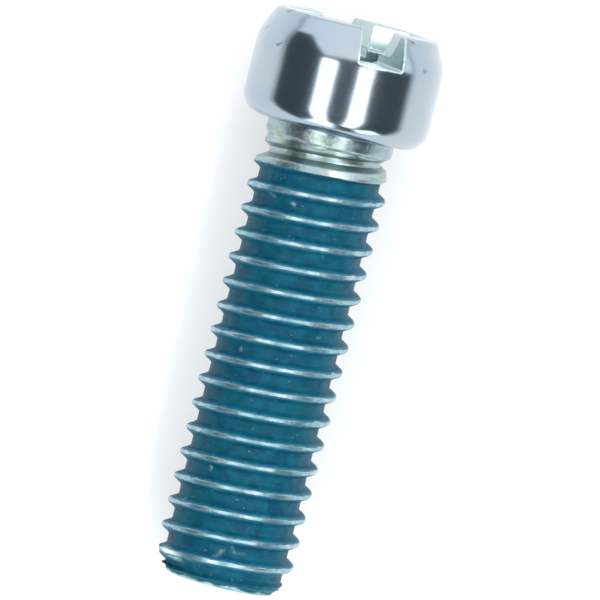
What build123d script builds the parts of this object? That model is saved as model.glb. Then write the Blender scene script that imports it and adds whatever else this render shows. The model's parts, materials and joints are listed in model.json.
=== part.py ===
from build123d import *
import math
import os

# Sizes in millimetres. The screw is built upright, tip down, with its bearing face at height 0,
# and is laid on its side at the end, as it would come to rest.

# Head
head_radius = 2.64
head_height = 3.10
under_head_radius = 0.60
taper_start = 1.98
taper_blend = 0.90
taper_angle = 20
top_edge_radius = 0.07

# Slot across the head, and the cross recess struck through it
slot_width = 1.26
slot_depth = 0.94
slot_turn = 20.5
wing_width_top = 1.44
wing_width_floor = 0.95
wing_span_top = 3.70
wing_slope = 26.5
wing_root_radius = 0.12
recess_depth = 1.70
point_depth = 0.30
point_span = 0.60
point_width = 0.30
point_root_radius = 0.03

# Neck, left at the size of the blank that the thread was rolled on
neck_radius = 1.79
neck_length = 0.36
neck_run_out = 0.18

# Thread, metric 4 by 0.7, right-handed: full_turns of full height, and turns that fade at each end
pitch = 0.70
crest_radius = 1.93
root_radius = 1.55
crest_flat = 0.11
flank_angle = 30
ridge_embed = 0.10
first_turn = -0.903
neck_turns = 2
full_turns = 15
tip_turns = 2
shank_length = 13.0
tip_edge_radius = 0.12

# How high the crests stand where they fade, as radius and height
neck_fade_start = (1.70, -0.50)
neck_fade_end = (1.99, -1.70)
tip_fade_start = (1.98, -12.02)
tip_fade_shoulder = (1.82, -12.52)
tip_fade_end = (1.60, -12.86)
tip_fade_inside = (1.38, -13.02)
clear_radius = 2.30

# Blue locking coat that fills the foot of the thread grooves
coat_top = -1.27
coat_bottom = -12.65
coat_radius = 1.68
coat_core_radius = 1.40


def tangent(degrees):
    return math.tan(math.radians(degrees))


# One turn of the thread ridge, a trapezoid that starts inside the core and follows a helix
ridge_rise = crest_radius - root_radius
crest_half = crest_flat / 2
base_half = crest_half + (ridge_rise + ridge_embed) * tangent(flank_angle)
with BuildPart() as ridge_turn:
    with BuildLine() as ridge_path:
        Helix(pitch=pitch, height=pitch, radius=root_radius)
    ridge_plane = Plane(ridge_path.line @ 0, x_dir=(1, 0, 0), z_dir=ridge_path.line % 0)
    with BuildSketch(ridge_plane):
        with BuildLine():
            Polyline(
                (-ridge_embed, -base_half),
                (ridge_rise, -crest_half),
                (ridge_rise, crest_half),
                (-ridge_embed, base_half),
                close=True,
            )
        make_face()
    sweep(path=ridge_path.line, is_frenet=True)


def turn_locations(first, count):
    """Places of whole thread turns, counted down from the neck."""
    return [Location((0, 0, first_turn - k * pitch)) for k in range(first, first + count)]


# Under the neck the first crests grow out of the blank, cut back by a ring
with BuildPart() as neck_ridge:
    with Locations(turn_locations(0, neck_turns)):
        add(ridge_turn.part)
    with BuildSketch(Plane.XZ):
        with BuildLine():
            Polyline(
                (neck_fade_start[0], head_height),
                neck_fade_start,
                neck_fade_end,
                (clear_radius, neck_fade_end[1]),
                (clear_radius, head_height),
                close=True,
            )
        make_face()
    revolve(axis=Axis.Z, mode=Mode.SUBTRACT)

# At the tip the last crests fade over the chamfer of the blank
with BuildPart() as tip_ridge:
    with Locations(turn_locations(neck_turns + full_turns, tip_turns)):
        add(ridge_turn.part)
    with BuildSketch(Plane.XZ):
        with BuildLine():
            Polyline(
                tip_fade_start,
                tip_fade_shoulder,
                tip_fade_end,
                tip_fade_inside,
                (tip_fade_inside[0], -shank_length - 2 * pitch),
                (clear_radius, -shank_length - 2 * pitch),
                (clear_radius, tip_fade_start[1]),
                close=True,
            )
        make_face()
    revolve(axis=Axis.Z, mode=Mode.SUBTRACT)


def cross_sketch(height, span, width, root):
    """Cross outline of the recess at a height, with its four inner corners rounded."""
    with BuildSketch(Plane.XY.offset(height)) as cross:
        Rectangle(width, span, rotation=slot_turn)
        Rectangle(span, width, rotation=slot_turn)
        fillet(cross.vertices().sort_by_distance((0, 0, height))[0:4], root)
    return cross.sketch


# The screw: a turned blank, then the slot and the recess, then the thread
taper_base = (
    head_radius - taper_blend * (1 - math.cos(math.radians(taper_angle))),
    taper_start + taper_blend * math.sin(math.radians(taper_angle)),
)
top_radius = taper_base[0] - (head_height - taper_base[1]) * tangent(taper_angle)
with BuildPart() as screw:
    with BuildSketch(Plane.XZ) as blank_profile:
        with BuildLine():
            Polyline((0, -shank_length), (0, head_height), (top_radius, head_height), taper_base)
            RadiusArc(taper_base, (head_radius, taper_start), taper_blend)
            Polyline(
                (head_radius, taper_start),
                (head_radius, 0),
                (neck_radius, 0),
                (neck_radius, -neck_length),
                (root_radius, -neck_length - neck_run_out),
                (root_radius, -shank_length),
                (0, -shank_length),
            )
        make_face()
        corners = blank_profile.vertices()
        fillet(corners.sort_by_distance((head_radius, 0))[0], under_head_radius)
        fillet(corners.sort_by_distance((top_radius, head_height))[0], top_edge_radius)
        fillet(corners.sort_by_distance((root_radius, -shank_length))[0], tip_edge_radius)
    revolve(axis=Axis.Z)
    with BuildSketch(Plane.XY.offset(head_height)):
        Rectangle(slot_width, 3 * head_radius, rotation=slot_turn)
    extrude(amount=-slot_depth, mode=Mode.SUBTRACT)
    wing_span_floor = wing_span_top - 2 * recess_depth * tangent(wing_slope)
    mouth = cross_sketch(head_height, wing_span_top, wing_width_top, wing_root_radius)
    floor = cross_sketch(head_height - recess_depth, wing_span_floor, wing_width_floor, wing_root_radius)
    point = cross_sketch(
        head_height - recess_depth - point_depth, point_span, point_width, point_root_radius
    )
    loft([mouth, floor], ruled=True, mode=Mode.SUBTRACT)
    loft([floor, point], ruled=True, mode=Mode.SUBTRACT)
    with Locations(turn_locations(neck_turns, full_turns)):
        add(ridge_turn.part)
    add(neck_ridge.part)
    add(tip_ridge.part)

# The coat: a band around the core that keeps only what the steel leaves free
with BuildPart() as thread_coating:
    with BuildSketch(Plane.XY.offset(coat_bottom)):
        Circle(coat_radius)
        Circle(coat_core_radius, mode=Mode.SUBTRACT)
    extrude(amount=coat_top - coat_bottom)
    add(screw.part, mode=Mode.SUBTRACT)

# Lying on its side the screw touches with the round under its head and with its last full crest.
# The far side of the thread, a quarter turn on from the start of each turn, is underneath.
whole_turns = neck_turns + full_turns - 1
last_crest = first_turn + pitch / 4 - whole_turns * pitch - crest_half
lever = under_head_radius - last_crest
step = head_radius - under_head_radius - crest_radius
lean = math.degrees(math.atan2(step, lever) + math.asin(under_head_radius / math.hypot(lever, step)))
on_its_side = Location((0, 0, 0), (lean - 90, 0, 0))
side_box = screw.part.moved(on_its_side).bounding_box()
at_rest = Location((-side_box.center().X, -side_box.center().Y, -side_box.min.Z)) * on_its_side

screw.part.label = "screw"
thread_coating.part.label = "thread_coating"
screw.part.location = at_rest
thread_coating.part.location = at_rest
os.makedirs("parts", exist_ok=True)
export_step(screw.part, "parts/screw.step")
export_step(thread_coating.part, "parts/thread_coating.step")
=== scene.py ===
import json
import math

import bpy
import numpy as np
from mathutils import Matrix, Vector


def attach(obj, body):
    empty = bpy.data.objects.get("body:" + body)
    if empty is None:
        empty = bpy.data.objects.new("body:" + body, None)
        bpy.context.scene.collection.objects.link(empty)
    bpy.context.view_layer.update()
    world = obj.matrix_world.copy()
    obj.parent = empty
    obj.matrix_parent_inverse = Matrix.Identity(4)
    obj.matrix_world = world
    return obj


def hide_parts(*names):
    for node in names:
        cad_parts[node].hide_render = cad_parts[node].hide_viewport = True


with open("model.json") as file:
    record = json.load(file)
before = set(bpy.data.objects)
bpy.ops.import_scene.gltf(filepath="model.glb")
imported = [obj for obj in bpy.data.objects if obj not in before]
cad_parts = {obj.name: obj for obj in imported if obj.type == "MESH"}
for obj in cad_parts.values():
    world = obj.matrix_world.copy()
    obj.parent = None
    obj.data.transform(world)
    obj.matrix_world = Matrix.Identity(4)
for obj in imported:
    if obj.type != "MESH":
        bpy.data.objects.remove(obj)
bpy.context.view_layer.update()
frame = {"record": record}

# The view. The screw lies on a pale table and is seen from nearly straight above, from a little
# towards its head, through a long lens. The picture is turned so that the head points up to the
# right, and 36 of its 600 pixels are a millimetre.
PIXEL = 0.001 / 36.0
PICTURE_WIDTH = 600 * PIXEL
AXIS_IN_PICTURE = math.radians(14.08)
VIEW_TOWARDS_HEAD = math.radians(1.0)
LENS_DISTANCE = 0.30
SENSOR_WIDTH = 36.0
LOOKED_AT = Vector((0.000293, 0.000144, 0.002680))

to_lens = Vector((0.0, math.sin(VIEW_TOWARDS_HEAD), math.cos(VIEW_TOWARDS_HEAD)))
along = Vector((0.0, math.cos(VIEW_TOWARDS_HEAD), -math.sin(VIEW_TOWARDS_HEAD)))
across = Vector((1.0, 0.0, 0.0))
picture_right = across * math.cos(AXIS_IN_PICTURE) + along * math.sin(AXIS_IN_PICTURE)
picture_up = along * math.cos(AXIS_IN_PICTURE) - across * math.sin(AXIS_IN_PICTURE)
camera = bpy.data.objects.new("camera", bpy.data.cameras.new("camera"))
bpy.context.scene.collection.objects.link(camera)
camera.data.sensor_width = SENSOR_WIDTH
camera.data.lens = SENSOR_WIDTH * LENS_DISTANCE / PICTURE_WIDTH
camera.data.clip_start = 0.01
camera.data.clip_end = 10.0
place = Matrix((picture_right, picture_up, to_lens)).transposed().to_4x4()
place.translation = LOOKED_AT + to_lens * LENS_DISTANCE
camera.matrix_world = place
bpy.context.scene.camera = camera


# The table: a wide board with a matt white face, on which the screw lies. It glows faintly, so that
# it stays white between the soft shadows.
TABLE_WHITE = (0.86, 0.865, 0.87, 1)
TABLE_ROUGHNESS = 0.9
TABLE_GLOW = 0.12
TABLE_HALF = 1.5
TABLE_CORNERS = ((-1, -1), (1, -1), (1, 1), (-1, 1))
table_mesh = bpy.data.meshes.new("table")
table_mesh.from_pydata([(TABLE_HALF * x, TABLE_HALF * y, 0) for x, y in TABLE_CORNERS], [], [(0, 1, 2, 3)])
table = bpy.data.objects.new("table", table_mesh)
bpy.context.scene.collection.objects.link(table)
board = bpy.data.materials.new("white_board")
board.use_nodes = True
board_shader = board.node_tree.nodes["Principled BSDF"]
board_shader.inputs["Base Color"].default_value = TABLE_WHITE
board_shader.inputs["Roughness"].default_value = TABLE_ROUGHNESS
board_shader.inputs["Emission Color"].default_value = (1, 1, 1, 1)
board_shader.inputs["Emission Strength"].default_value = TABLE_GLOW
table_mesh.materials.append(board)


# The studio: two long soft boxes overhead, one on each side of the screw, a small lamp that shines
# into the hollow of the head, and a dark room with a pale wall behind the head, two low windows on
# the side of the tip and a pale horizon.
LIGHT_HEIGHT = 0.30
LEFT_STRIP = (math.tan(math.radians(-32.0)) * LIGHT_HEIGHT, math.tan(math.radians(-12.0)) * LIGHT_HEIGHT)
RIGHT_STRIP = (math.tan(math.radians(15.0)) * LIGHT_HEIGHT, math.tan(math.radians(34.0)) * LIGHT_HEIGHT)
STRIP_ENDS = (-0.50, 0.005)
STRIP_RADIANCE = 4.6
STRIP_TINT = (1.0, 0.99, 0.97)
LAMP_BOX = (0.12, 0.30, 0.035, 0.20)
LAMP_HEIGHT = LIGHT_HEIGHT + 0.02
LAMP_RADIANCE = 4.5
LAMP_TINT = (1.0, 1.0, 0.95)
WALL_GLOW = (1.68, 1.70, 1.72, 1)
ROOM_GLOW = (0.094, 0.120, 0.144, 1)
ZENITH_GLOW = (0.155, 0.190, 0.225, 1)
HORIZON_GLOW = (0.85, 0.92, 0.96, 1)
WINDOW_GLOW = (3.4, 3.6, 3.7, 1)
ZENITH_RISE = (0.955, 0.985)
HORIZON_RISE = (0.06, 0.11)

# Straight edges of the pale wall, each as the shares of a direction's x and z that add to its y
WALL_LEFT_EDGES = ((1.17, 0.61), (0.545, -0.455))
WALL_RIGHT_EDGE = (-0.093, -0.133)
WALL_BLUR = 0.03

# Windows: where each begins and ends sideways, as a share of the way towards the tip, and its top
WINDOWS = ((-0.46, 0.04, 0.58), (0.33, 1.00, 0.42))
WINDOW_SIDE_BLUR = 0.08
WINDOW_TOP_BLUR = 0.06


def soft_box(name, x_low, x_high, y_low, y_high, height, radiance, tint):
    """A flat light facing down, that fills a rectangle at a height, with an even glow."""
    lamp = bpy.data.lights.new(name, "AREA")
    lamp.shape = "RECTANGLE"
    lamp.size = x_high - x_low
    lamp.size_y = y_high - y_low
    lamp.energy = radiance * math.pi * lamp.size * lamp.size_y
    lamp.color = tint
    holder = bpy.data.objects.new(name, lamp)
    holder.location = ((x_low + x_high) / 2, (y_low + y_high) / 2, height)
    holder.visible_camera = False
    bpy.context.scene.collection.objects.link(holder)


def add_node(tree, kind, inputs=None, **settings):
    """A node of a tree, with its settings, and with its inputs wired or set."""
    node = tree.nodes.new(kind)
    for name, value in settings.items():
        setattr(node, name, value)
    for key, value in (inputs or {}).items():
        if isinstance(value, bpy.types.NodeSocket):
            tree.links.new(value, node.inputs[key])
        else:
            node.inputs[key].default_value = value
    return node


def node_math(tree, operation, *values):
    """The result of a Math node, with its inputs wired or set."""
    return add_node(tree, "ShaderNodeMath", dict(enumerate(values)), operation=operation).outputs[0]


def node_step(tree, value, low, high, at_low=0.0, at_high=1.0):
    """A smooth step of a value between two marks."""
    inputs = {"Value": value, "From Min": low, "From Max": high, "To Min": at_low, "To Max": at_high}
    return add_node(tree, "ShaderNodeMapRange", inputs, interpolation_type="SMOOTHSTEP").outputs["Result"]


def node_mix(tree, factor, first, second):
    """A mix of two colours, which a Mix node takes at places 6 and 7 and gives at place 2."""
    inputs = {0: factor, 6: first, 7: second}
    return add_node(tree, "ShaderNodeMix", inputs, data_type="RGBA").outputs[2]


for name, (first, last) in (("strip_left", LEFT_STRIP), ("strip_right", RIGHT_STRIP)):
    soft_box(name, first, last, *STRIP_ENDS, LIGHT_HEIGHT, STRIP_RADIANCE, STRIP_TINT)
soft_box("lamp", *LAMP_BOX, LAMP_HEIGHT, LAMP_RADIANCE, LAMP_TINT)
room = bpy.data.worlds.new("studio_room")
room.use_nodes = True
bpy.context.scene.world = room
tree = room.node_tree
way = add_node(tree, "ShaderNodeTexCoord").outputs["Generated"]
x, y, z = add_node(tree, "ShaderNodeSeparateXYZ", {0: way}).outputs


def beyond(across, up):
    """How far a direction of the room lies beyond a straight edge of the wall, towards the head."""
    return node_math(tree, "MULTIPLY_ADD", x, across, node_math(tree, "MULTIPLY_ADD", z, up, y))


left_edge = node_math(tree, "MAXIMUM", *[beyond(*edge) for edge in WALL_LEFT_EDGES])
wall = node_math(tree, "MINIMUM", left_edge, beyond(*WALL_RIGHT_EDGE))
glow = node_mix(tree, node_step(tree, z, *ZENITH_RISE), ROOM_GLOW, ZENITH_GLOW)
glow = node_mix(tree, node_step(tree, wall, 0.0, WALL_BLUR), glow, WALL_GLOW)
aside = node_math(tree, "DIVIDE", x, node_math(tree, "MAXIMUM", node_math(tree, "MULTIPLY", y, -1.0), 0.01))
for first, last, top in WINDOWS:
    half = (last - first) / 2
    off = node_math(tree, "ABSOLUTE", node_math(tree, "SUBTRACT", aside, (first + last) / 2))
    wide = node_step(tree, off, half, half - WINDOW_SIDE_BLUR)
    pane = node_math(tree, "MULTIPLY", wide, node_step(tree, z, top, top - WINDOW_TOP_BLUR))
    glow = node_mix(tree, pane, glow, WINDOW_GLOW)
glow = node_mix(tree, node_step(tree, z, *HORIZON_RISE), HORIZON_GLOW, glow)
tree.links.new(glow, tree.nodes["Background"].inputs["Color"])
bpy.context.scene.view_settings.view_transform = "Standard"


# The head is cold-forged steel: a short cylinder with a tapered top and a round under its rim. A
# slot is cut across it, and a cross recess is struck through the slot. Its skin is worked out from
# distances, in millimetres, with the screw upright and the flat under its head at height 0.
HEAD_RADIUS = 2.64
HEAD_HEIGHT = 3.10
UNDER_HEAD_RADIUS = 0.60
TAPER_START = 1.98
TAPER_BLEND = 1.50
TAPER_ANGLE = math.radians(26)
RIM_ROUND = 0.10
SLOT_HALF = 0.63
SLOT_FLOOR = HEAD_HEIGHT - 0.94
SLOT_TURN = math.radians(20.5)
LOW_SIDE_DROP = 0.045
LOW_SIDE_START = 0.1
WING_HALF_TOP = 0.80
WING_DRAFT = math.tan(math.radians(8.0))
WING_HALF_LOW = 0.47
WING_STEP = HEAD_HEIGHT - 0.66
WING_STEP_RISE = 0.08
WING_TAPER = math.tan(math.radians(6.0))
WING_REACH = 1.85
WING_SLOPE = math.tan(math.radians(26.5))
WING_END_COSINE = 0.9
RECESS_FLOOR = HEAD_HEIGHT - 1.70
EDGE_ROUND = 0.06
HEAD_STEP = 0.04
HEAD_TRIANGLES = 90000


def smooth_max(a, b, width):
    """The larger of two distances, with their crease rounded over."""
    overlap = np.clip(width - np.abs(a - b), 0, None) / width
    return np.maximum(a, b) + overlap * overlap * width / 4


def hollow_field(p):
    """Distance to the walls of the slot and the cross recess, below zero in the hollow."""
    x, y, z = p[..., 0], p[..., 1], p[..., 2]
    u = np.abs(x * math.cos(SLOT_TURN) + y * math.sin(SLOT_TURN))
    v = np.abs(y * math.cos(SLOT_TURN) - x * math.sin(SLOT_TURN))
    slot = smooth_max(u - SLOT_HALF, SLOT_FLOOR - z, EDGE_ROUND)
    low = np.clip((WING_STEP - z) / WING_STEP_RISE, 0, 1)
    upper_half = WING_HALF_TOP - (HEAD_HEIGHT - z) * WING_DRAFT
    half = upper_half + (WING_HALF_LOW - upper_half) * low * low * (3 - 2 * low)
    reach = WING_REACH - (HEAD_HEIGHT - z) * WING_SLOPE
    hollow = slot
    for outward, sideways in ((u, v), (v, u)):
        taper = (outward - SLOT_HALF) * WING_TAPER
        wing = smooth_max(sideways - half + taper, (outward - reach) * WING_END_COSINE, EDGE_ROUND)
        hollow = np.minimum(hollow, smooth_max(wing, RECESS_FLOOR - z, EDGE_ROUND))
    return hollow


def head_field(p):
    """Distance to the skin of the head, below zero in the steel."""
    x, y, z = p[..., 0], p[..., 1], p[..., 2]
    rho = np.hypot(x, y)
    # side: straight wall, then an arc into the tapered top
    arc_rho = rho - (HEAD_RADIUS - TAPER_BLEND)
    arc_z = z - TAPER_START
    turned = np.arctan2(arc_z, arc_rho)
    slope = arc_rho * math.cos(TAPER_ANGLE) + arc_z * math.sin(TAPER_ANGLE) - TAPER_BLEND
    side = np.where(turned < TAPER_ANGLE, np.hypot(arc_rho, arc_z) - TAPER_BLEND, slope)
    side = np.where(arc_z < 0, rho - HEAD_RADIUS, side)
    # under the head: a round between the wall and the flat
    a = rho - (HEAD_RADIUS - UNDER_HEAD_RADIUS)
    b = UNDER_HEAD_RADIUS - z
    lower = np.minimum(np.maximum(a, b), 0) + np.hypot(np.maximum(a, 0), np.maximum(b, 0))
    lower -= UNDER_HEAD_RADIUS
    # top: flat, and a little lower to one side of the slot
    beside = -(x * math.cos(SLOT_TURN) + y * math.sin(SLOT_TURN)) / HEAD_RADIUS
    top = z - HEAD_HEIGHT + LOW_SIDE_DROP * np.clip(beside - LOW_SIDE_START, 0, 1)
    body = smooth_max(np.maximum(side, lower), top, RIM_ROUND)
    return smooth_max(body, -hollow_field(p), EDGE_ROUND)


def field_slope(field, points, reach=0.004):
    """Slope of a distance field, which points straight out of the skin."""
    slope = np.zeros_like(points)
    for k in range(3):
        push = np.zeros(3)
        push[k] = reach
        slope[:, k] = (field(points + push) - field(points - push)) / (2 * reach)
    return slope


def lay_on_skin(field, points, furthest):
    """Points moved onto the zero level of a distance field, each by no more than a short way."""
    slope = field_slope(field, points)
    off = field(points)[:, None] * slope / np.maximum((slope * slope).sum(1), 0.25)[:, None]
    return points - np.clip(off, -furthest, furthest)


def field_skin(field, low, high, step):
    """Closed skin of quads on the zero level of a distance field."""
    counts = [int(math.ceil((h - l) / step)) + 1 for l, h in zip(low, high)]
    axes = [l + step * np.arange(c) for l, c in zip(low, counts)]
    samples = field(np.stack(np.meshgrid(*axes, indexing="ij"), -1))
    steel = samples < 0
    cells = [c - 1 for c in counts]
    total = int(np.prod(cells))
    sums = np.zeros((total, 3))
    hits = np.zeros(total)
    quads = []
    for axis in range(3):
        near = [slice(None)] * 3
        far = [slice(None)] * 3
        near[axis] = slice(0, -1)
        far[axis] = slice(1, None)
        crossed = np.argwhere(steel[tuple(near)] != steel[tuple(far)])
        a = samples[tuple(near)][tuple(crossed.T)]
        b = samples[tuple(far)][tuple(crossed.T)]
        point = crossed.astype(float)
        point[:, axis] += a / (a - b)
        s, t = (axis + 1) % 3, (axis + 2) % 3
        corner_ids = []
        for ds, dt in ((-1, -1), (0, -1), (0, 0), (-1, 0)):
            cell = crossed.copy()
            cell[:, s] += ds
            cell[:, t] += dt
            ids = np.ravel_multi_index(tuple(cell.T), cells)
            corner_ids.append(ids)
            hits += np.bincount(ids, minlength=total)
            for k in range(3):
                sums[:, k] += np.bincount(ids, weights=point[:, k], minlength=total)
        quad = np.stack(corner_ids, 1)
        quad[a > 0] = quad[a > 0][:, ::-1]
        quads.append(quad)
    used = np.flatnonzero(hits)
    number = np.full(total, -1)
    number[used] = np.arange(len(used))
    points = np.array(low) + step * sums[used] / hits[used][:, None]
    for _ in range(3):
        points = lay_on_skin(field, points, step / 2)
    return points, number[np.concatenate(quads)]


def mesh_object(name, points, faces):
    """A new object with a mesh of these points and faces."""
    mesh = bpy.data.meshes.new(name)
    mesh.from_pydata([tuple(p) for p in points], [], [tuple(f) for f in faces])
    mesh.update()
    piece = bpy.data.objects.new(name, mesh)
    bpy.context.scene.collection.objects.link(piece)
    return piece


def finished_mesh(piece):
    """A plain mesh of a piece as its modifiers make it."""
    bpy.context.view_layer.update()
    return bpy.data.meshes.new_from_object(piece.evaluated_get(bpy.context.evaluated_depsgraph_get()))


def read_rows(items, field, width, kind=float):
    """One field of all items of a mesh, as an array with one row for each."""
    values = np.empty(width * len(items), dtype=kind)
    items.foreach_get(field, values)
    return values.reshape(-1, width) if width > 1 else values


# the skin is looked for in a box a little larger than the head
head_low = (-HEAD_RADIUS - 0.1, -HEAD_RADIUS - 0.1, -0.07)
head_high = (HEAD_RADIUS + 0.1, HEAD_RADIUS + 0.1, HEAD_HEIGHT + 0.1)
head = mesh_object("screw_head", *field_skin(head_field, head_low, head_high, HEAD_STEP))

# the skin is thinned where it is flat, and laid back on the true shape
thin = head.modifiers.new("thin", "DECIMATE")
thin.ratio = HEAD_TRIANGLES / (2 * len(head.data.polygons))
thinned = finished_mesh(head)
head.modifiers.remove(thin)
head.data = thinned
places = lay_on_skin(head_field, read_rows(thinned.vertices, "co", 3), HEAD_STEP / 4)
thinned.vertices.foreach_set("co", places.ravel())
thinned.update()


# The shank is one with the head: a neck the size of the blank, then a thread rolled into it, right-
# handed, metric 4 by 0.7, which fades in under the neck and fades out over the edge of the flat tip.
PITCH = 0.70
CREST_RADIUS = 1.93
ROOT_RADIUS = 1.55
CREST_FLAT = 0.11
FLANK_ANGLE = math.radians(30)
FIRST_CREST = -0.903
NECK_RADIUS = 1.79
NECK_LENGTH = 0.36
NECK_RUN_OUT = 0.18
SHANK_LENGTH = 13.0
TIP_ROUND = 0.12
COLUMNS = 144
ROWS_A_TURN = 18

# How high the crests stand where they fade, each as radius and height
FADES = (
    ((1.70, -0.50), (1.99, -1.70)),
    ((1.98, -12.02), (1.82, -12.52)),
    ((1.82, -12.52), (1.60, -12.86)),
    ((1.60, -12.86), (1.38, -13.02)),
)

# Burrs on the crests: the middle of each, its radius at the middle, and how fast it falls away
BURRS = (
    ((-1.95, -0.10, -4.06), 2.03, 14.0),
    ((1.92, -0.10, -4.55), 1.92, 22.0),
    ((-1.95, -0.10, -11.87), 2.01, 16.0),
)


def add_ring(points, radius, z):
    """Adds a level ring of points, and gives their numbers."""
    start = len(points)
    for j in range(COLUMNS):
        turn = 2 * math.pi * j / COLUMNS
        points.append((radius * math.cos(turn), radius * math.sin(turn), z))
    return list(range(start, start + COLUMNS))


def helix_skin(z_top, z_bottom, radius):
    """Rows that climb round a cylinder as the thread does, cut off at two level rings.

    Gives the points, the faces, and the numbers of the top and bottom rings' points."""
    row_drop = PITCH / ROWS_A_TURN
    margin = 0.3 * row_drop
    points = []
    faces = []
    top = add_ring(points, radius, z_top)
    bottom = add_ring(points, radius, z_bottom)

    def row_range(column):
        """First and last row between the two rings in a column."""
        shift = column * ROWS_A_TURN / COLUMNS
        first = math.ceil((FIRST_CREST - z_top + margin) / row_drop + shift)
        last = math.floor((FIRST_CREST - z_bottom - margin) / row_drop + shift)
        return first, last

    number = {}
    for j in range(COLUMNS):
        first, last = row_range(j)
        turn = 2 * math.pi * j / COLUMNS
        for row in range(first, last + 1):
            number[j, row] = len(points)
            z = FIRST_CREST - row * row_drop + PITCH * j / COLUMNS
            points.append((radius * math.cos(turn), radius * math.sin(turn), z))
    for j in range(COLUMNS):
        k = (j + 1) % COLUMNS
        # going once round brings a row to the place of the row one turn above
        lift = ROWS_A_TURN if k == 0 else 0
        f0, l0 = row_range(j)
        f1, l1 = row_range(k)
        f1, l1 = f1 + lift, l1 + lift
        first, last = max(f0, f1), min(l0, l1)
        for row in range(first, last):
            quad = (number[j, row], number[j, row + 1], number[k, row + 1 - lift], number[k, row - lift])
            faces.append(quad)
        left = [number[j, row] for row in range(f0, first + 1)]
        right = [number[k, row - lift] for row in range(f1, first + 1)]
        faces.append((top[j], *left, *reversed(right), top[k]))
        left = [number[j, row] for row in range(last, l0 + 1)]
        right = [number[k, row - lift] for row in range(last, l1 + 1)]
        faces.append((bottom[k], *reversed(right), *left, bottom[j]))
    return points, faces, top, bottom


def add_rings(points, faces, ring, profile, down):
    """Continues a skin, down or up, from one ring of points over a list of radii and heights."""
    for radius, z in profile:
        new = add_ring(points, radius, z)
        for j in range(COLUMNS):
            k = (j + 1) % COLUMNS
            quad = (ring[j], new[j], new[k], ring[k])
            faces.append(quad if down else quad[::-1])
        ring = new
    return ring


shank_top = -NECK_LENGTH - 0.02
shank_bottom = -SHANK_LENGTH + TIP_ROUND + 0.01
points, faces, top, bottom = helix_skin(shank_top, shank_bottom, ROOT_RADIUS)
neck_profile = [(NECK_RADIUS, -NECK_LENGTH + 0.04), (NECK_RADIUS, 0.0), (NECK_RADIUS, 0.5)]
neck_ring = add_rings(points, faces, top, neck_profile, False)
tip_profile = [
    (ROOT_RADIUS - TIP_ROUND * (1 - math.cos(a)), -SHANK_LENGTH + TIP_ROUND * (1 - math.sin(a)))
    for a in [math.radians(d) for d in (0, 18, 36, 54, 72, 90)]
]
tip_profile += [(r, -SHANK_LENGTH) for r in (1.2, 0.8, 0.4, 0.1)]
tip_ring = add_rings(points, faces, bottom, tip_profile, True)
faces.append(tuple(neck_ring))
faces.append(tuple(reversed(tip_ring)))
shank = mesh_object("screw_shank", points, faces)


def new_tree(name, numbers):
    """A geometry tree with a mesh in and out, a material, and named numbers."""
    tree = bpy.data.node_groups.new(name, "GeometryNodeTree")
    tree.interface.new_socket("Geometry", in_out="INPUT", socket_type="NodeSocketGeometry")
    tree.interface.new_socket("Material", in_out="INPUT", socket_type="NodeSocketMaterial")
    for label, value in numbers.items():
        socket = tree.interface.new_socket(label, in_out="INPUT", socket_type="NodeSocketFloat")
        socket.default_value = value
    tree.interface.new_socket("Geometry", in_out="OUTPUT", socket_type="NodeSocketGeometry")
    tree.is_modifier = True
    return tree, tree.nodes.new("NodeGroupInput"), tree.nodes.new("NodeGroupOutput")


def helix_place(tree, given):
    """Place, x, y and height of each point, and its distance from the nearest crest line, along the axis."""
    where = tree.nodes.new("GeometryNodeInputPosition").outputs[0]
    x, y, z = add_node(tree, "ShaderNodeSeparateXYZ", {0: where}).outputs
    turn = node_math(tree, "DIVIDE", node_math(tree, "ARCTAN2", y, x), 2 * math.pi)
    rise = node_math(tree, "DIVIDE", node_math(tree, "SUBTRACT", z, given["First Crest"]), given["Pitch"])
    phase = node_math(tree, "SUBTRACT", rise, turn)
    phase = node_math(tree, "SUBTRACT", node_math(tree, "FRACT", node_math(tree, "ADD", phase, 0.5)), 0.5)
    aside = node_math(tree, "MULTIPLY", node_math(tree, "ABSOLUTE", phase), given["Pitch"])
    return where, x, y, z, aside


def ramp_line(tree, z, start, end):
    """Radius on the straight line between two places, each a radius and a height."""
    slope = (end[0] - start[0]) / (end[1] - start[1])
    return node_math(tree, "MULTIPLY_ADD", z, slope, start[0] - slope * start[1])


def unevenness(tree, where, scale, size):
    """Noise in space, centred on zero, of a scale per millimetre and a size."""
    noise = add_node(tree, "ShaderNodeTexNoise", {"Vector": where, "Scale": scale, "Detail": 2.0})
    return node_math(tree, "MULTIPLY", node_math(tree, "SUBTRACT", noise.outputs[0], 0.5), size)


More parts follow.
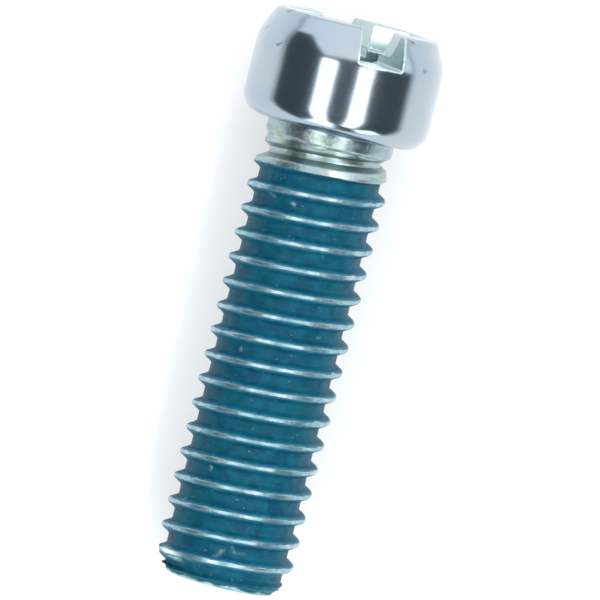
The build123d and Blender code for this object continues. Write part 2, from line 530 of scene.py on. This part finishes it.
def thread_radius(tree, given, where, z, aside):
    """Radius of the steel: flat crests, straight flanks and rounded roots, faded at both ends."""
    beside = node_math(tree, "SUBTRACT", aside, node_math(tree, "DIVIDE", given["Crest Flat"], 2.0))
    fall = node_math(tree, "DIVIDE", beside, given["Flank Tangent"])
    uneven = unevenness(tree, where, given["Roughness Scale"], given["Roughness"])
    crest = node_math(tree, "ADD", given["Crest Radius"], uneven)
    ridge = node_math(tree, "SUBTRACT", crest, fall)
    ridge = node_math(tree, "SMOOTH_MIN", ridge, crest, given["Edge Round"])
    for start, end in FADES:
        ridge = node_math(tree, "SMOOTH_MIN", ridge, ramp_line(tree, z, start, end), given["Fade Round"])
    for middle, peak, drop in BURRS:
        off = add_node(tree, "ShaderNodeVectorMath", {0: where, 1: middle}, operation="DISTANCE")
        square = node_math(tree, "POWER", off.outputs["Value"], 2.0)
        ridge = node_math(tree, "MAXIMUM", ridge, node_math(tree, "MULTIPLY_ADD", square, -drop, peak))
    neck = ramp_line(tree, z, (NECK_RADIUS, -NECK_LENGTH), (ROOT_RADIUS, -NECK_LENGTH - NECK_RUN_OUT))
    core = node_math(tree, "MAXIMUM", node_math(tree, "MINIMUM", neck, NECK_RADIUS), given["Root Radius"])
    return node_math(tree, "SMOOTH_MAX", ridge, core, given["Root Round"])


def set_radius(tree, mesh, where, x, y, radius, selection):
    """Moves the selected points straight out from the axis to a radius."""
    rho = node_math(tree, "SQRT", node_math(tree, "MULTIPLY_ADD", x, x, node_math(tree, "MULTIPLY", y, y)))
    grow = node_math(tree, "DIVIDE", radius, rho)
    factor = add_node(tree, "ShaderNodeCombineXYZ", {0: grow, 1: grow, 2: 1.0}).outputs[0]
    scaled = add_node(tree, "ShaderNodeVectorMath", {0: where, 1: factor}, operation="MULTIPLY").outputs[0]
    inputs = {"Geometry": mesh, "Position": scaled, "Selection": selection}
    return add_node(tree, "GeometryNodeSetPosition", inputs).outputs[0]


def within(tree, z, low, high):
    """Whether a height lies between two heights."""
    above = node_math(tree, "GREATER_THAN", z, low)
    return node_math(tree, "MULTIPLY", above, node_math(tree, "LESS_THAN", z, high))


def close_tree(tree, mesh, given_material, end):
    """Ends a tree with real geometry that carries the given material."""
    real = add_node(tree, "GeometryNodeRealizeInstances", {0: mesh}).outputs[0]
    paint = add_node(tree, "GeometryNodeSetMaterial", {"Geometry": real, "Material": given_material})
    tree.links.new(paint.outputs[0], end.inputs[0])


def apply_tree(piece, tree, material, numbers):
    """Puts a tree on a piece, sets its inputs, and turns the result into the piece's own mesh."""
    modifier = piece.modifiers.new(tree.name, "NODES")
    modifier.node_group = tree
    for item in tree.interface.items_tree:
        if item.in_out == "INPUT" and item.name in numbers:
            modifier[item.identifier] = numbers[item.name]
        if item.in_out == "INPUT" and item.name == "Material":
            modifier[item.identifier] = material
    made = finished_mesh(piece)
    piece.modifiers.remove(modifier)
    piece.data = made


thread_sizes = {
    "Pitch": PITCH,
    "First Crest": FIRST_CREST,
    "Crest Radius": CREST_RADIUS,
    "Root Radius": ROOT_RADIUS,
    "Crest Flat": CREST_FLAT,
    "Flank Tangent": math.tan(FLANK_ANGLE),
    "Edge Round": 0.03,
    "Root Round": 0.05,
    "Fade Round": 0.03,
    "Roughness": 0.035,
    "Roughness Scale": 2.6,
}


# Zinc plating over the whole screw: bright and mirror-like on the head, duller where the slot is cut
# and the recess struck, satin with a faint green and pink bloom on the neck and thread, and stained
# by the coat where only the crests are bare.
MIRROR_ZINC = (0.30, 0.375, 0.44, 1)
WARM_ZINC = (0.345, 0.39, 0.425, 1)
SATIN_GREEN = (0.34, 0.42, 0.38, 1)
SATIN_BLUE = (0.28, 0.38, 0.40, 1)
SATIN_PINK = (0.38, 0.38, 0.40, 1)
DARK_SATIN = (0.15, 0.23, 0.24, 1)
STAINED_CREST = (0.21, 0.36, 0.43, 1)
PALE_CREST = (0.36, 0.48, 0.53, 1)
TIP_STAIN = (0.004, 0.085, 0.130, 1)
NICKED_ZINC = (0.12, 0.155, 0.19, 1)
STRUCK_ZINC = (0.46, 0.57, 0.58, 1)
RUBBED_ZINC = (0.80, 0.86, 0.84, 1)

# Roughness of each finish: the share that a fine noise adds, and what it adds to
HEAD_ROUGHNESS = (0.08, 0.13)
NECK_ROUGHNESS = (0.24, 0.20)
CREST_ROUGHNESS = (0.20, 0.27)
STRUCK_ROUGHNESS = 0.09

# Heights between which one finish gives way to the next: satin under the head, stained where the
# coat begins, and blue on the edge of the tip, where the coat has run down
SATIN_FROM = (0.06, -0.10)
COATED_FROM = (-1.20, -1.30)
BLUE_FROM = (-12.45, -12.55)
BLUE_TO = (-12.78, -12.72)
BLUE_TO_DRIFT = 0.35

# Depths of the relief in the plating, in metres
SWELL_DEPTH = 0.000007
NICK_DEPTH = 0.00001
PORE_DEPTH = 0.000012

# Nicks from handling: degrees round the head, radius and height of each, how far it is turned out of
# level, and its half length and half width. Their rims are ragged by a drift.
NICK_REACH = 0.4
NICK_DARKNESS = 0.75
NICK_DRIFT = 0.16
HEAD_NICKS = (
    ((-36.0, 2.60, 2.30), 8.0, (0.17, 0.055)),
    ((-37.5, 2.58, 2.33), 60.0, (0.09, 0.030)),
    ((-138.5, 2.62, 2.07), 20.0, (0.20, 0.040)),
    ((-133.0, 2.60, 2.16), 30.0, (0.10, 0.030)),
    ((-160.0, 2.55, 2.40), 35.0, (0.26, 0.060)),
    ((-146.6, 2.31, 3.00), 15.0, (0.20, 0.050)),
    ((-128.2, 2.33, 3.02), -10.0, (0.16, 0.040)),
    ((-47.3, 2.32, 3.00), -20.0, (0.22, 0.050)),
    ((76.0, 2.50, 2.60), 25.0, (0.22, 0.050)),
    ((118.0, 2.64, 1.30), -15.0, (0.25, 0.035)),
)

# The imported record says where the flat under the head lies, and that it faces down the axis, which
# leans a little from level.
mounts = {mount["name"]: mount for mount in frame["record"]["mounts"]}
bearing_face = Vector(mounts["bearing_face"]["pos_m"])
lean = math.asin(-mounts["bearing_face"]["axis"][2])
upright_turn = Matrix.Rotation(math.pi / 2 - lean, 4, "X")
upright_move = -(upright_turn @ bearing_face) * 1000


def screw_millimetres(tree):
    """Place on the upright screw, in millimetres, from the object's own coordinates."""
    inputs = {
        "Vector": add_node(tree, "ShaderNodeTexCoord").outputs["Object"],
        "Location": upright_move,
        "Rotation": upright_turn.to_euler(),
        "Scale": (1000, 1000, 1000),
    }
    return add_node(tree, "ShaderNodeMapping", inputs, vector_type="POINT").outputs[0]


def cloud(tree, where, scale, detail=3.0, roughness=0.55):
    """A noise of a scale per millimetre."""
    inputs = {"Vector": where, "Scale": scale, "Detail": detail, "Roughness": roughness}
    return add_node(tree, "ShaderNodeTexNoise", inputs).outputs[0]


def oval(tree, where, middle, turn, half):
    """How near a place is to the middle of a tilted oval, from 0 at its rim to 1."""
    inputs = {"Vector": where, "Location": middle, "Rotation": turn, "Scale": half}
    local = add_node(tree, "ShaderNodeMapping", inputs, vector_type="TEXTURE").outputs[0]
    reach = add_node(tree, "ShaderNodeVectorMath", {0: local}, operation="LENGTH").outputs["Value"]
    return node_step(tree, reach, 1.0, 0.2)


def own_number(tree, name):
    """A number that each point of the piece carries."""
    return add_node(tree, "ShaderNodeAttribute", attribute_name=name).outputs["Fac"]


zinc = bpy.data.materials.new("bright_zinc")
zinc.use_nodes = True
tree = zinc.node_tree
shader = tree.nodes["Principled BSDF"]
shader.inputs["Specular IOR Level"].default_value = 0.12
where = screw_millimetres(tree)
height = add_node(tree, "ShaderNodeSeparateXYZ", {0: where}).outputs[2]
satin = node_step(tree, height, *SATIN_FROM)
coated = node_step(tree, height, *COATED_FROM)
fine = cloud(tree, where, 9.0, 4.0)

# the head's bright zinc, and the duller zinc of its hollow
mirror = node_mix(tree, node_step(tree, cloud(tree, where, 0.7), 0.35, 0.70), MIRROR_ZINC, WARM_ZINC)
struck = own_number(tree, "struck")
mirror = node_mix(tree, struck, mirror, STRUCK_ZINC)

# the satin of the neck, with its bloom and dark streaks round the axis
bloom = cloud(tree, where, 1.3)
dull = node_mix(tree, node_step(tree, bloom, 0.30, 0.55), SATIN_GREEN, SATIN_BLUE)
dull = node_mix(tree, node_step(tree, bloom, 0.50, 0.75), dull, SATIN_PINK)
streak = add_node(tree, "ShaderNodeVectorMath", {0: where, 1: (1.0, 1.0, 4.5)}, operation="MULTIPLY")
streak = cloud(tree, streak.outputs[0], 1.6)
dull = node_mix(tree, node_step(tree, streak, 0.42, 0.66, 0.0, 0.5), dull, DARK_SATIN)

# the bare crests between the coat, stained, paler in places and rubbed bright in others
stained = node_mix(tree, node_step(tree, cloud(tree, where, 3.0), 0.40, 0.68), STAINED_CREST, PALE_CREST)
stained = node_mix(tree, own_number(tree, "scuff"), stained, RUBBED_ZINC)
colour = node_mix(tree, satin, mirror, dull)
colour = node_mix(tree, coated, colour, stained)

# the blue that has run over the edge of the tip, with an uneven end
stain_edge = node_math(tree, "MULTIPLY_ADD", cloud(tree, where, 2.2), BLUE_TO_DRIFT, height)
below = node_step(tree, height, *BLUE_FROM)
dipped = node_math(tree, "MULTIPLY", below, node_step(tree, stain_edge, *BLUE_TO))
colour = node_mix(tree, dipped, colour, TIP_STAIN)
tree.links.new(node_math(tree, "SUBTRACT", 1.0, dipped), shader.inputs["Metallic"])

# the nicks, darker and dented
wander = add_node(tree, "ShaderNodeTexNoise", {"Vector": where, "Scale": 7.0, "Detail": 3.0}).outputs["Color"]
drift = add_node(tree, "ShaderNodeVectorMath", {0: wander, 1: (0.5, 0.5, 0.5)}, operation="SUBTRACT")
drift = add_node(tree, "ShaderNodeVectorMath", {0: drift.outputs[0], "Scale": NICK_DRIFT}, operation="SCALE")
ragged = add_node(tree, "ShaderNodeVectorMath", {0: where, 1: drift.outputs[0]}, operation="ADD").outputs[0]
nicked = None
for (degrees, reach, up), level, (long, wide) in HEAD_NICKS:
    turn = math.radians(degrees)
    middle = (reach * math.cos(turn), reach * math.sin(turn), up)
    one = oval(tree, ragged, middle, (math.radians(level), 0, turn), (NICK_REACH, long, wide))
    nicked = one if nicked is None else node_math(tree, "MAXIMUM", nicked, one)
colour = node_mix(tree, node_math(tree, "MULTIPLY", nicked, NICK_DARKNESS), colour, NICKED_ZINC)
tree.links.new(colour, shader.inputs["Base Color"])

# roughness and relief
smooth = node_math(tree, "MULTIPLY_ADD", fine, *HEAD_ROUGHNESS)
smooth = node_math(tree, "MULTIPLY_ADD", struck, STRUCK_ROUGHNESS, smooth)
rough = node_math(tree, "MULTIPLY_ADD", fine, *NECK_ROUGHNESS)
worn = node_math(tree, "MULTIPLY_ADD", fine, *CREST_ROUGHNESS)
gloss = add_node(tree, "ShaderNodeMix", {0: satin, 2: smooth, 3: rough}).outputs[0]
gloss = add_node(tree, "ShaderNodeMix", {0: coated, 2: gloss, 3: worn}).outputs[0]
tree.links.new(gloss, shader.inputs["Roughness"])
swell = {"Height": cloud(tree, where, 0.9, 1.0), "Strength": 1.0, "Distance": SWELL_DEPTH}
waves = add_node(tree, "ShaderNodeBump", swell).outputs[0]
dent = {"Height": nicked, "Strength": 0.6, "Distance": NICK_DEPTH, "Normal": waves}
waves = add_node(tree, "ShaderNodeBump", dent, invert=True).outputs[0]
pores = {"Height": fine, "Strength": satin, "Distance": PORE_DEPTH, "Normal": waves}
tree.links.new(add_node(tree, "ShaderNodeBump", pores).outputs[0], shader.inputs["Normal"])

thread_tree, start, end = new_tree("rolled_thread", thread_sizes)
given = start.outputs
where, x, y, z, aside = helix_place(thread_tree, given)
radius = thread_radius(thread_tree, given, where, z, aside)
zone = within(thread_tree, z, shank_bottom - 0.005, -NECK_LENGTH + 0.02)
cut = set_radius(thread_tree, given["Geometry"], where, x, y, radius, zone)
close_tree(thread_tree, cut, given["Material"], end)
apply_tree(shank, thread_tree, zinc, thread_sizes)


# Head and shank are one forging, fused where the neck enters the flat under the head. The screw is
# marked where it is struck and rubbed, and lies on its side, on the round under its head and on its
# last crest, so that its axis rises towards the head.
CREASE = math.radians(40)
STRUCK_DEPTH = 0.03

# Which corners are the head's, by their height and distance from its skin, and where the slope is
# taken instead when it turns by more than an angle within the face
ABOVE_FLAT = 0.003
ON_SKIN = 0.01
BESIDE_EDGE = math.radians(14)
TOWARDS_MIDDLE = 0.9

# Rubbed places on the crests and the coat: both ends of each, its half width, and how far it is
# rubbed. Each fades out between 0.4 and 1.4 of its half width.
SCUFF_END = 1.4
SCUFFS = (
    ((-0.10, -1.70, -11.93), (-0.36, -1.72, -12.27), 0.06, 0.50),
    ((0.12, -1.69, -11.76), (0.22, -1.68, -11.92), 0.04, 0.35),
    ((0.26, -1.68, -11.92), (0.50, -1.63, -11.90), 0.04, 0.30),
    ((-1.72, -0.80, -12.36), (-1.28, -1.34, -12.54), 0.15, 0.90),
    ((-0.53, -1.62, -2.13), (-0.53, -1.62, -2.13), 0.06, 1.00),
    ((-0.97, -1.39, -6.40), (-0.97, -1.39, -6.43), 0.06, 0.60),
    ((-1.19, -1.28, -1.99), (-1.12, -1.30, -2.06), 0.06, 0.55),
    ((-0.97, -1.39, -9.79), (-0.97, -1.39, -9.84), 0.06, 0.60),
    ((0.83, -1.54, -11.47), (0.86, -1.52, -11.56), 0.06, 0.50),
    ((-1.47, -1.04, -10.87), (-1.42, -1.10, -11.00), 0.07, 0.55),
    ((1.11, -1.29, -5.57), (1.00, -1.37, -5.62), 0.03, 0.45),
    ((1.30, 1.20, -7.40), (1.05, 1.42, -7.62), 0.07, 0.55),
    ((-0.80, 1.55, -4.10), (-0.60, 1.62, -4.35), 0.06, 0.55),
)


def unit(vectors):
    """Vectors brought to a length of 1."""
    return vectors / np.maximum(np.linalg.norm(vectors, axis=1), 0.001)[:, None]


def shade_smooth(mesh, crease):
    """Shades a mesh smoothly, but for the edges where its faces meet at more than an angle."""
    for polygon in mesh.polygons:
        polygon.use_smooth = True
    mesh.set_sharp_from_angle(angle=crease)


def give_number(mesh, name, values):
    """Stores a number on each point of a mesh."""
    mesh.attributes.new(name, "FLOAT", "POINT").data.foreach_set("value", values.astype(np.float32))


def mark_wear(mesh):
    """Stores how far each point is from the nearest crest line, along the axis, and how far rubbed."""
    p = read_rows(mesh.vertices, "co", 3)
    phase = (p[:, 2] - FIRST_CREST) / PITCH - np.arctan2(p[:, 1], p[:, 0]) / (2 * math.pi)
    give_number(mesh, "crest_gap", np.abs((phase + 0.5) % 1 - 0.5) * PITCH)
    scuff = np.zeros(len(p))
    for first, second, half, depth in SCUFFS:
        a, b = np.array(first), np.array(second)
        length = max(float((b - a) @ (b - a)), 1e-6)
        share = np.clip((p - a) @ (b - a) / length, 0, 1)
        off = np.linalg.norm(p - a - share[:, None] * (b - a), axis=1)
        scuff = np.maximum(scuff, depth * np.clip(SCUFF_END - off / half, 0, 1))
    give_number(mesh, "scuff", scuff)


def lay_on_side(mesh):
    """Takes a mesh from upright millimetres to the place where the frame has the screw."""
    mesh.transform(Matrix.Translation(bearing_face) @ upright_turn.inverted() @ Matrix.Scale(0.001, 4))
    mesh.update()


fuse = head.modifiers.new("fuse", "BOOLEAN")
fuse.operation = "UNION"
fuse.solver = "MANIFOLD"
fuse.object = shank
screw_mesh = finished_mesh(head)
bpy.data.objects.remove(head)
bpy.data.objects.remove(shank)
screw_mesh.name = "screw_steel"
screw = bpy.data.objects.new("screw_steel", screw_mesh)
bpy.context.scene.collection.objects.link(screw)
screw_mesh.materials.clear()
screw_mesh.materials.append(zinc)
for polygon in screw_mesh.polygons:
    polygon.material_index = 0
shade_smooth(screw_mesh, CREASE)

# the head is shaded by its true shape: each corner by the slope of the skin there, or, where its face
# borders on an edge, by the slope near the middle of the face
corner_places = read_rows(screw_mesh.vertices, "co", 3)[read_rows(screw_mesh.loops, "vertex_index", 1, int)]
on_head = (corner_places[:, 2] > ABOVE_FLAT) & (np.abs(head_field(corner_places)) < ON_SKIN)
corner_places = corner_places[on_head]
face_sizes = read_rows(screw_mesh.polygons, "loop_total", 1, int)
face_of_corner = np.repeat(np.arange(len(face_sizes)), face_sizes)[on_head]
middles = read_rows(screw_mesh.polygons, "center", 3)[face_of_corner]
at_corner = unit(field_slope(head_field, corner_places))
inside = (1 - TOWARDS_MIDDLE) * corner_places + TOWARDS_MIDDLE * middles
inside = unit(field_slope(head_field, inside))
bent = (at_corner * inside).sum(1) < math.cos(BESIDE_EDGE)
at_corner[bent] = inside[bent]
normals = read_rows(screw_mesh.corner_normals, "vector", 3)
normals[on_head] = at_corner
screw_mesh.normals_split_custom_set(normals.tolist())

from_hollow = np.abs(hollow_field(read_rows(screw_mesh.vertices, "co", 3)))
mark_wear(screw_mesh)
give_number(screw_mesh, "struck", np.clip(2 - from_hollow / STRUCK_DEPTH, 0, 1))
lay_on_side(screw_mesh)
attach(screw, "root")
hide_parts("screw")


# The coat: a blue locking compound that was wetted into the thread and has dried. It fills the foot
# of each groove and leaves a thin film on the flanks, and the crests have worn bare.
COAT_TOP = -1.27
COAT_BOTTOM = -12.70
COAT_RADIUS = 1.68
COAT_INSIDE = 1.45
COAT_END_TAPER = ((1.68, -12.55), (1.54, -12.78))
COAT_CREASE = math.radians(50)
DEEP_BLUE = (0.001, 0.062, 0.112, 1)
CLEAR_BLUE = (0.002, 0.098, 0.158, 1)
GREEN_BLUE = (0.002, 0.096, 0.122, 1)
THIN_FILM = (0.05, 0.18, 0.25, 1)
DRY_DUST = (0.30, 0.46, 0.50, 1)
COAT_ROUGHNESS = (0.25, 0.38)
LUMP_DEPTH = 0.00004

coat_top_ring = COAT_TOP + 0.12
coat_bottom_ring = COAT_BOTTOM - 0.10
points, faces, top, bottom = helix_skin(coat_top_ring, coat_bottom_ring, COAT_RADIUS)
low_ring = add_rings(points, faces, bottom, [(COAT_INSIDE, coat_bottom_ring)], True)
high_ring = add_rings(points, faces, top, [(COAT_INSIDE, coat_top_ring)], False)
for j in range(COLUMNS):
    k = (j + 1) % COLUMNS
    faces.append((high_ring[j], high_ring[k], low_ring[k], low_ring[j]))
coat = mesh_object("thread_coat", points, faces)
coat_sizes = dict(thread_sizes)
coat_sizes.update({"Fill Radius": COAT_RADIUS, "Fill Round": 0.08})
coat_sizes.update({"Fill Swell": 0.05, "Fill Swell Scale": 1.6})
coat_sizes.update({"Film": 0.012, "Bare Half": 0.055, "Bare Fade": 0.04})
coat_sizes.update({"Wear": 0.05, "Wear Scale": 5.0})

blue = bpy.data.materials.new("blue_locking_coat")
blue.use_nodes = True
tree = blue.node_tree
shader = tree.nodes["Principled BSDF"]
shader.inputs["Specular IOR Level"].default_value = 0.12
where = screw_millimetres(tree)

# mottled blues in the grooves, and a thin pale film next to the crests
patches = cloud(tree, where, 1.1)
mottle = cloud(tree, where, 3.2, 5.0)
colour = node_mix(tree, node_step(tree, mottle, 0.36, 0.66), DEEP_BLUE, CLEAR_BLUE)
colour = node_mix(tree, node_step(tree, patches, 0.50, 0.72, 0.0, 0.7), colour, GREEN_BLUE)
gap = node_math(tree, "MULTIPLY_ADD", cloud(tree, where, 5.0), 0.10, own_number(tree, "crest_gap"))
colour = node_mix(tree, node_step(tree, gap, 0.19, 0.09, 0.0, 0.85), colour, THIN_FILM)

# dry specks, and the dust of rubbed places
specks = node_step(tree, cloud(tree, where, 11.0, 2.0), 0.70, 0.76, 0.0, 0.6)
colour = node_mix(tree, specks, colour, DRY_DUST)
ragged = node_step(tree, cloud(tree, where, 8.0), 0.35, 0.60, 0.3, 1.0)
rubbed = node_math(tree, "MULTIPLY", own_number(tree, "scuff"), ragged)
colour = node_mix(tree, rubbed, colour, DRY_DUST)
tree.links.new(colour, shader.inputs["Base Color"])
tree.links.new(node_math(tree, "MULTIPLY_ADD", mottle, *COAT_ROUGHNESS), shader.inputs["Roughness"])
lumps = add_node(tree, "ShaderNodeBump", {"Height": mottle, "Strength": 0.8, "Distance": LUMP_DEPTH})
tree.links.new(lumps.outputs[0], shader.inputs["Normal"])

coat_tree, start, end = new_tree("coat_in_the_grooves", coat_sizes)
given = start.outputs
where, x, y, z, aside = helix_place(coat_tree, given)
steel = thread_radius(coat_tree, given, where, z, aside)
wear = unevenness(coat_tree, where, given["Wear Scale"], given["Wear"])
bare = node_math(coat_tree, "ADD", given["Bare Half"], wear)
covered = node_math(coat_tree, "DIVIDE", node_math(coat_tree, "SUBTRACT", aside, bare), given["Bare Fade"])
covered = node_math(coat_tree, "MINIMUM", node_math(coat_tree, "MAXIMUM", covered, -1.0), 1.0)
film = node_math(coat_tree, "MULTIPLY_ADD", covered, given["Film"], steel)
swell = unevenness(coat_tree, where, given["Fill Swell Scale"], given["Fill Swell"])
fill = node_math(coat_tree, "ADD", given["Fill Radius"], swell)
fill = node_math(coat_tree, "MINIMUM", fill, ramp_line(coat_tree, z, *COAT_END_TAPER))
outer = node_math(coat_tree, "SMOOTH_MAX", film, fill, given["Fill Round"])
zone = within(coat_tree, z, coat_bottom_ring + 0.002, coat_top_ring - 0.002)
cut = set_radius(coat_tree, given["Geometry"], where, x, y, outer, zone)
close_tree(coat_tree, cut, given["Material"], end)
apply_tree(coat, coat_tree, blue, coat_sizes)
shade_smooth(coat.data, COAT_CREASE)
mark_wear(coat.data)
lay_on_side(coat.data)
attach(coat, "root")
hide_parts("thread_coating")
